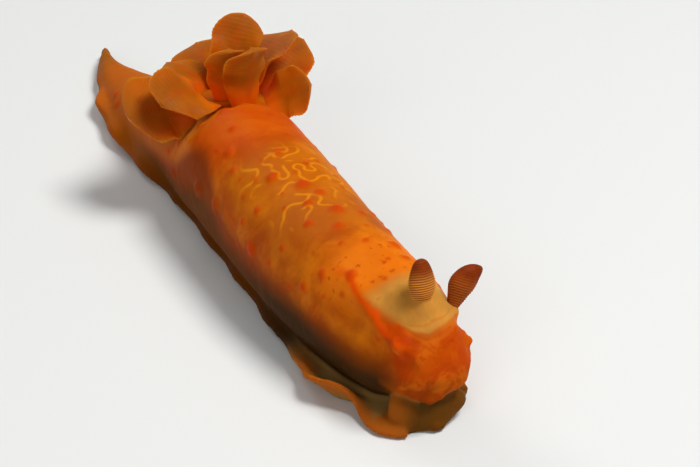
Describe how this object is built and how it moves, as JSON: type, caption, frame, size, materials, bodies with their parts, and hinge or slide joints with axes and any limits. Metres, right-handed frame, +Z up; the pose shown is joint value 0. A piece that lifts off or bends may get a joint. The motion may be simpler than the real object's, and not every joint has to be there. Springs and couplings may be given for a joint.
{
  "type": "orange spotted sea slug with a gill plume",
  "caption": "Life-size crawling sea slug: long rounded body on a thin waved foot, ribbed rhinophores on the head and a ring of broad leaf-like gills on the rear of the back.",
  "frame": {"origin": "middle of the whole box seen from above, on the plane the foot's sole rests on", "axes": "-Y is the way the head points, +Y the tail, -X the animal's right side, +X its left side, +Z up"},
  "size_m": [0.0182, 0.0702, 0.0151],
  "materials": {
    "flesh": "wet translucent orange skin",
    "rhinophore": "wet dark orange-brown ribbed skin",
    "gill": "wet translucent brownish orange leaves"
  },
  "bodies": {
    "root": {"oral_veil": "flesh", "head": "flesh", "neck": "flesh", "back_front": "flesh", "back_gills": "flesh", "back_rear": "flesh", "tail": "flesh", "foot_front": "flesh", "foot_middle": "flesh", "foot_rear": "flesh", "oral_feeler_right": "flesh", "oral_feeler_left": "flesh", "vent": "flesh", "rhinophore_right": "rhinophore", "rhinophore_left": "rhinophore", "gill_1": "gill", "gill_2": "gill", "gill_3": "gill", "gill_4": "gill", "gill_5": "gill", "gill_6": "gill", "gill_7": "gill", "gill_8": "gill", "gill_9": "gill", "gill_10": "gill"}
  },
  "joints": []
}
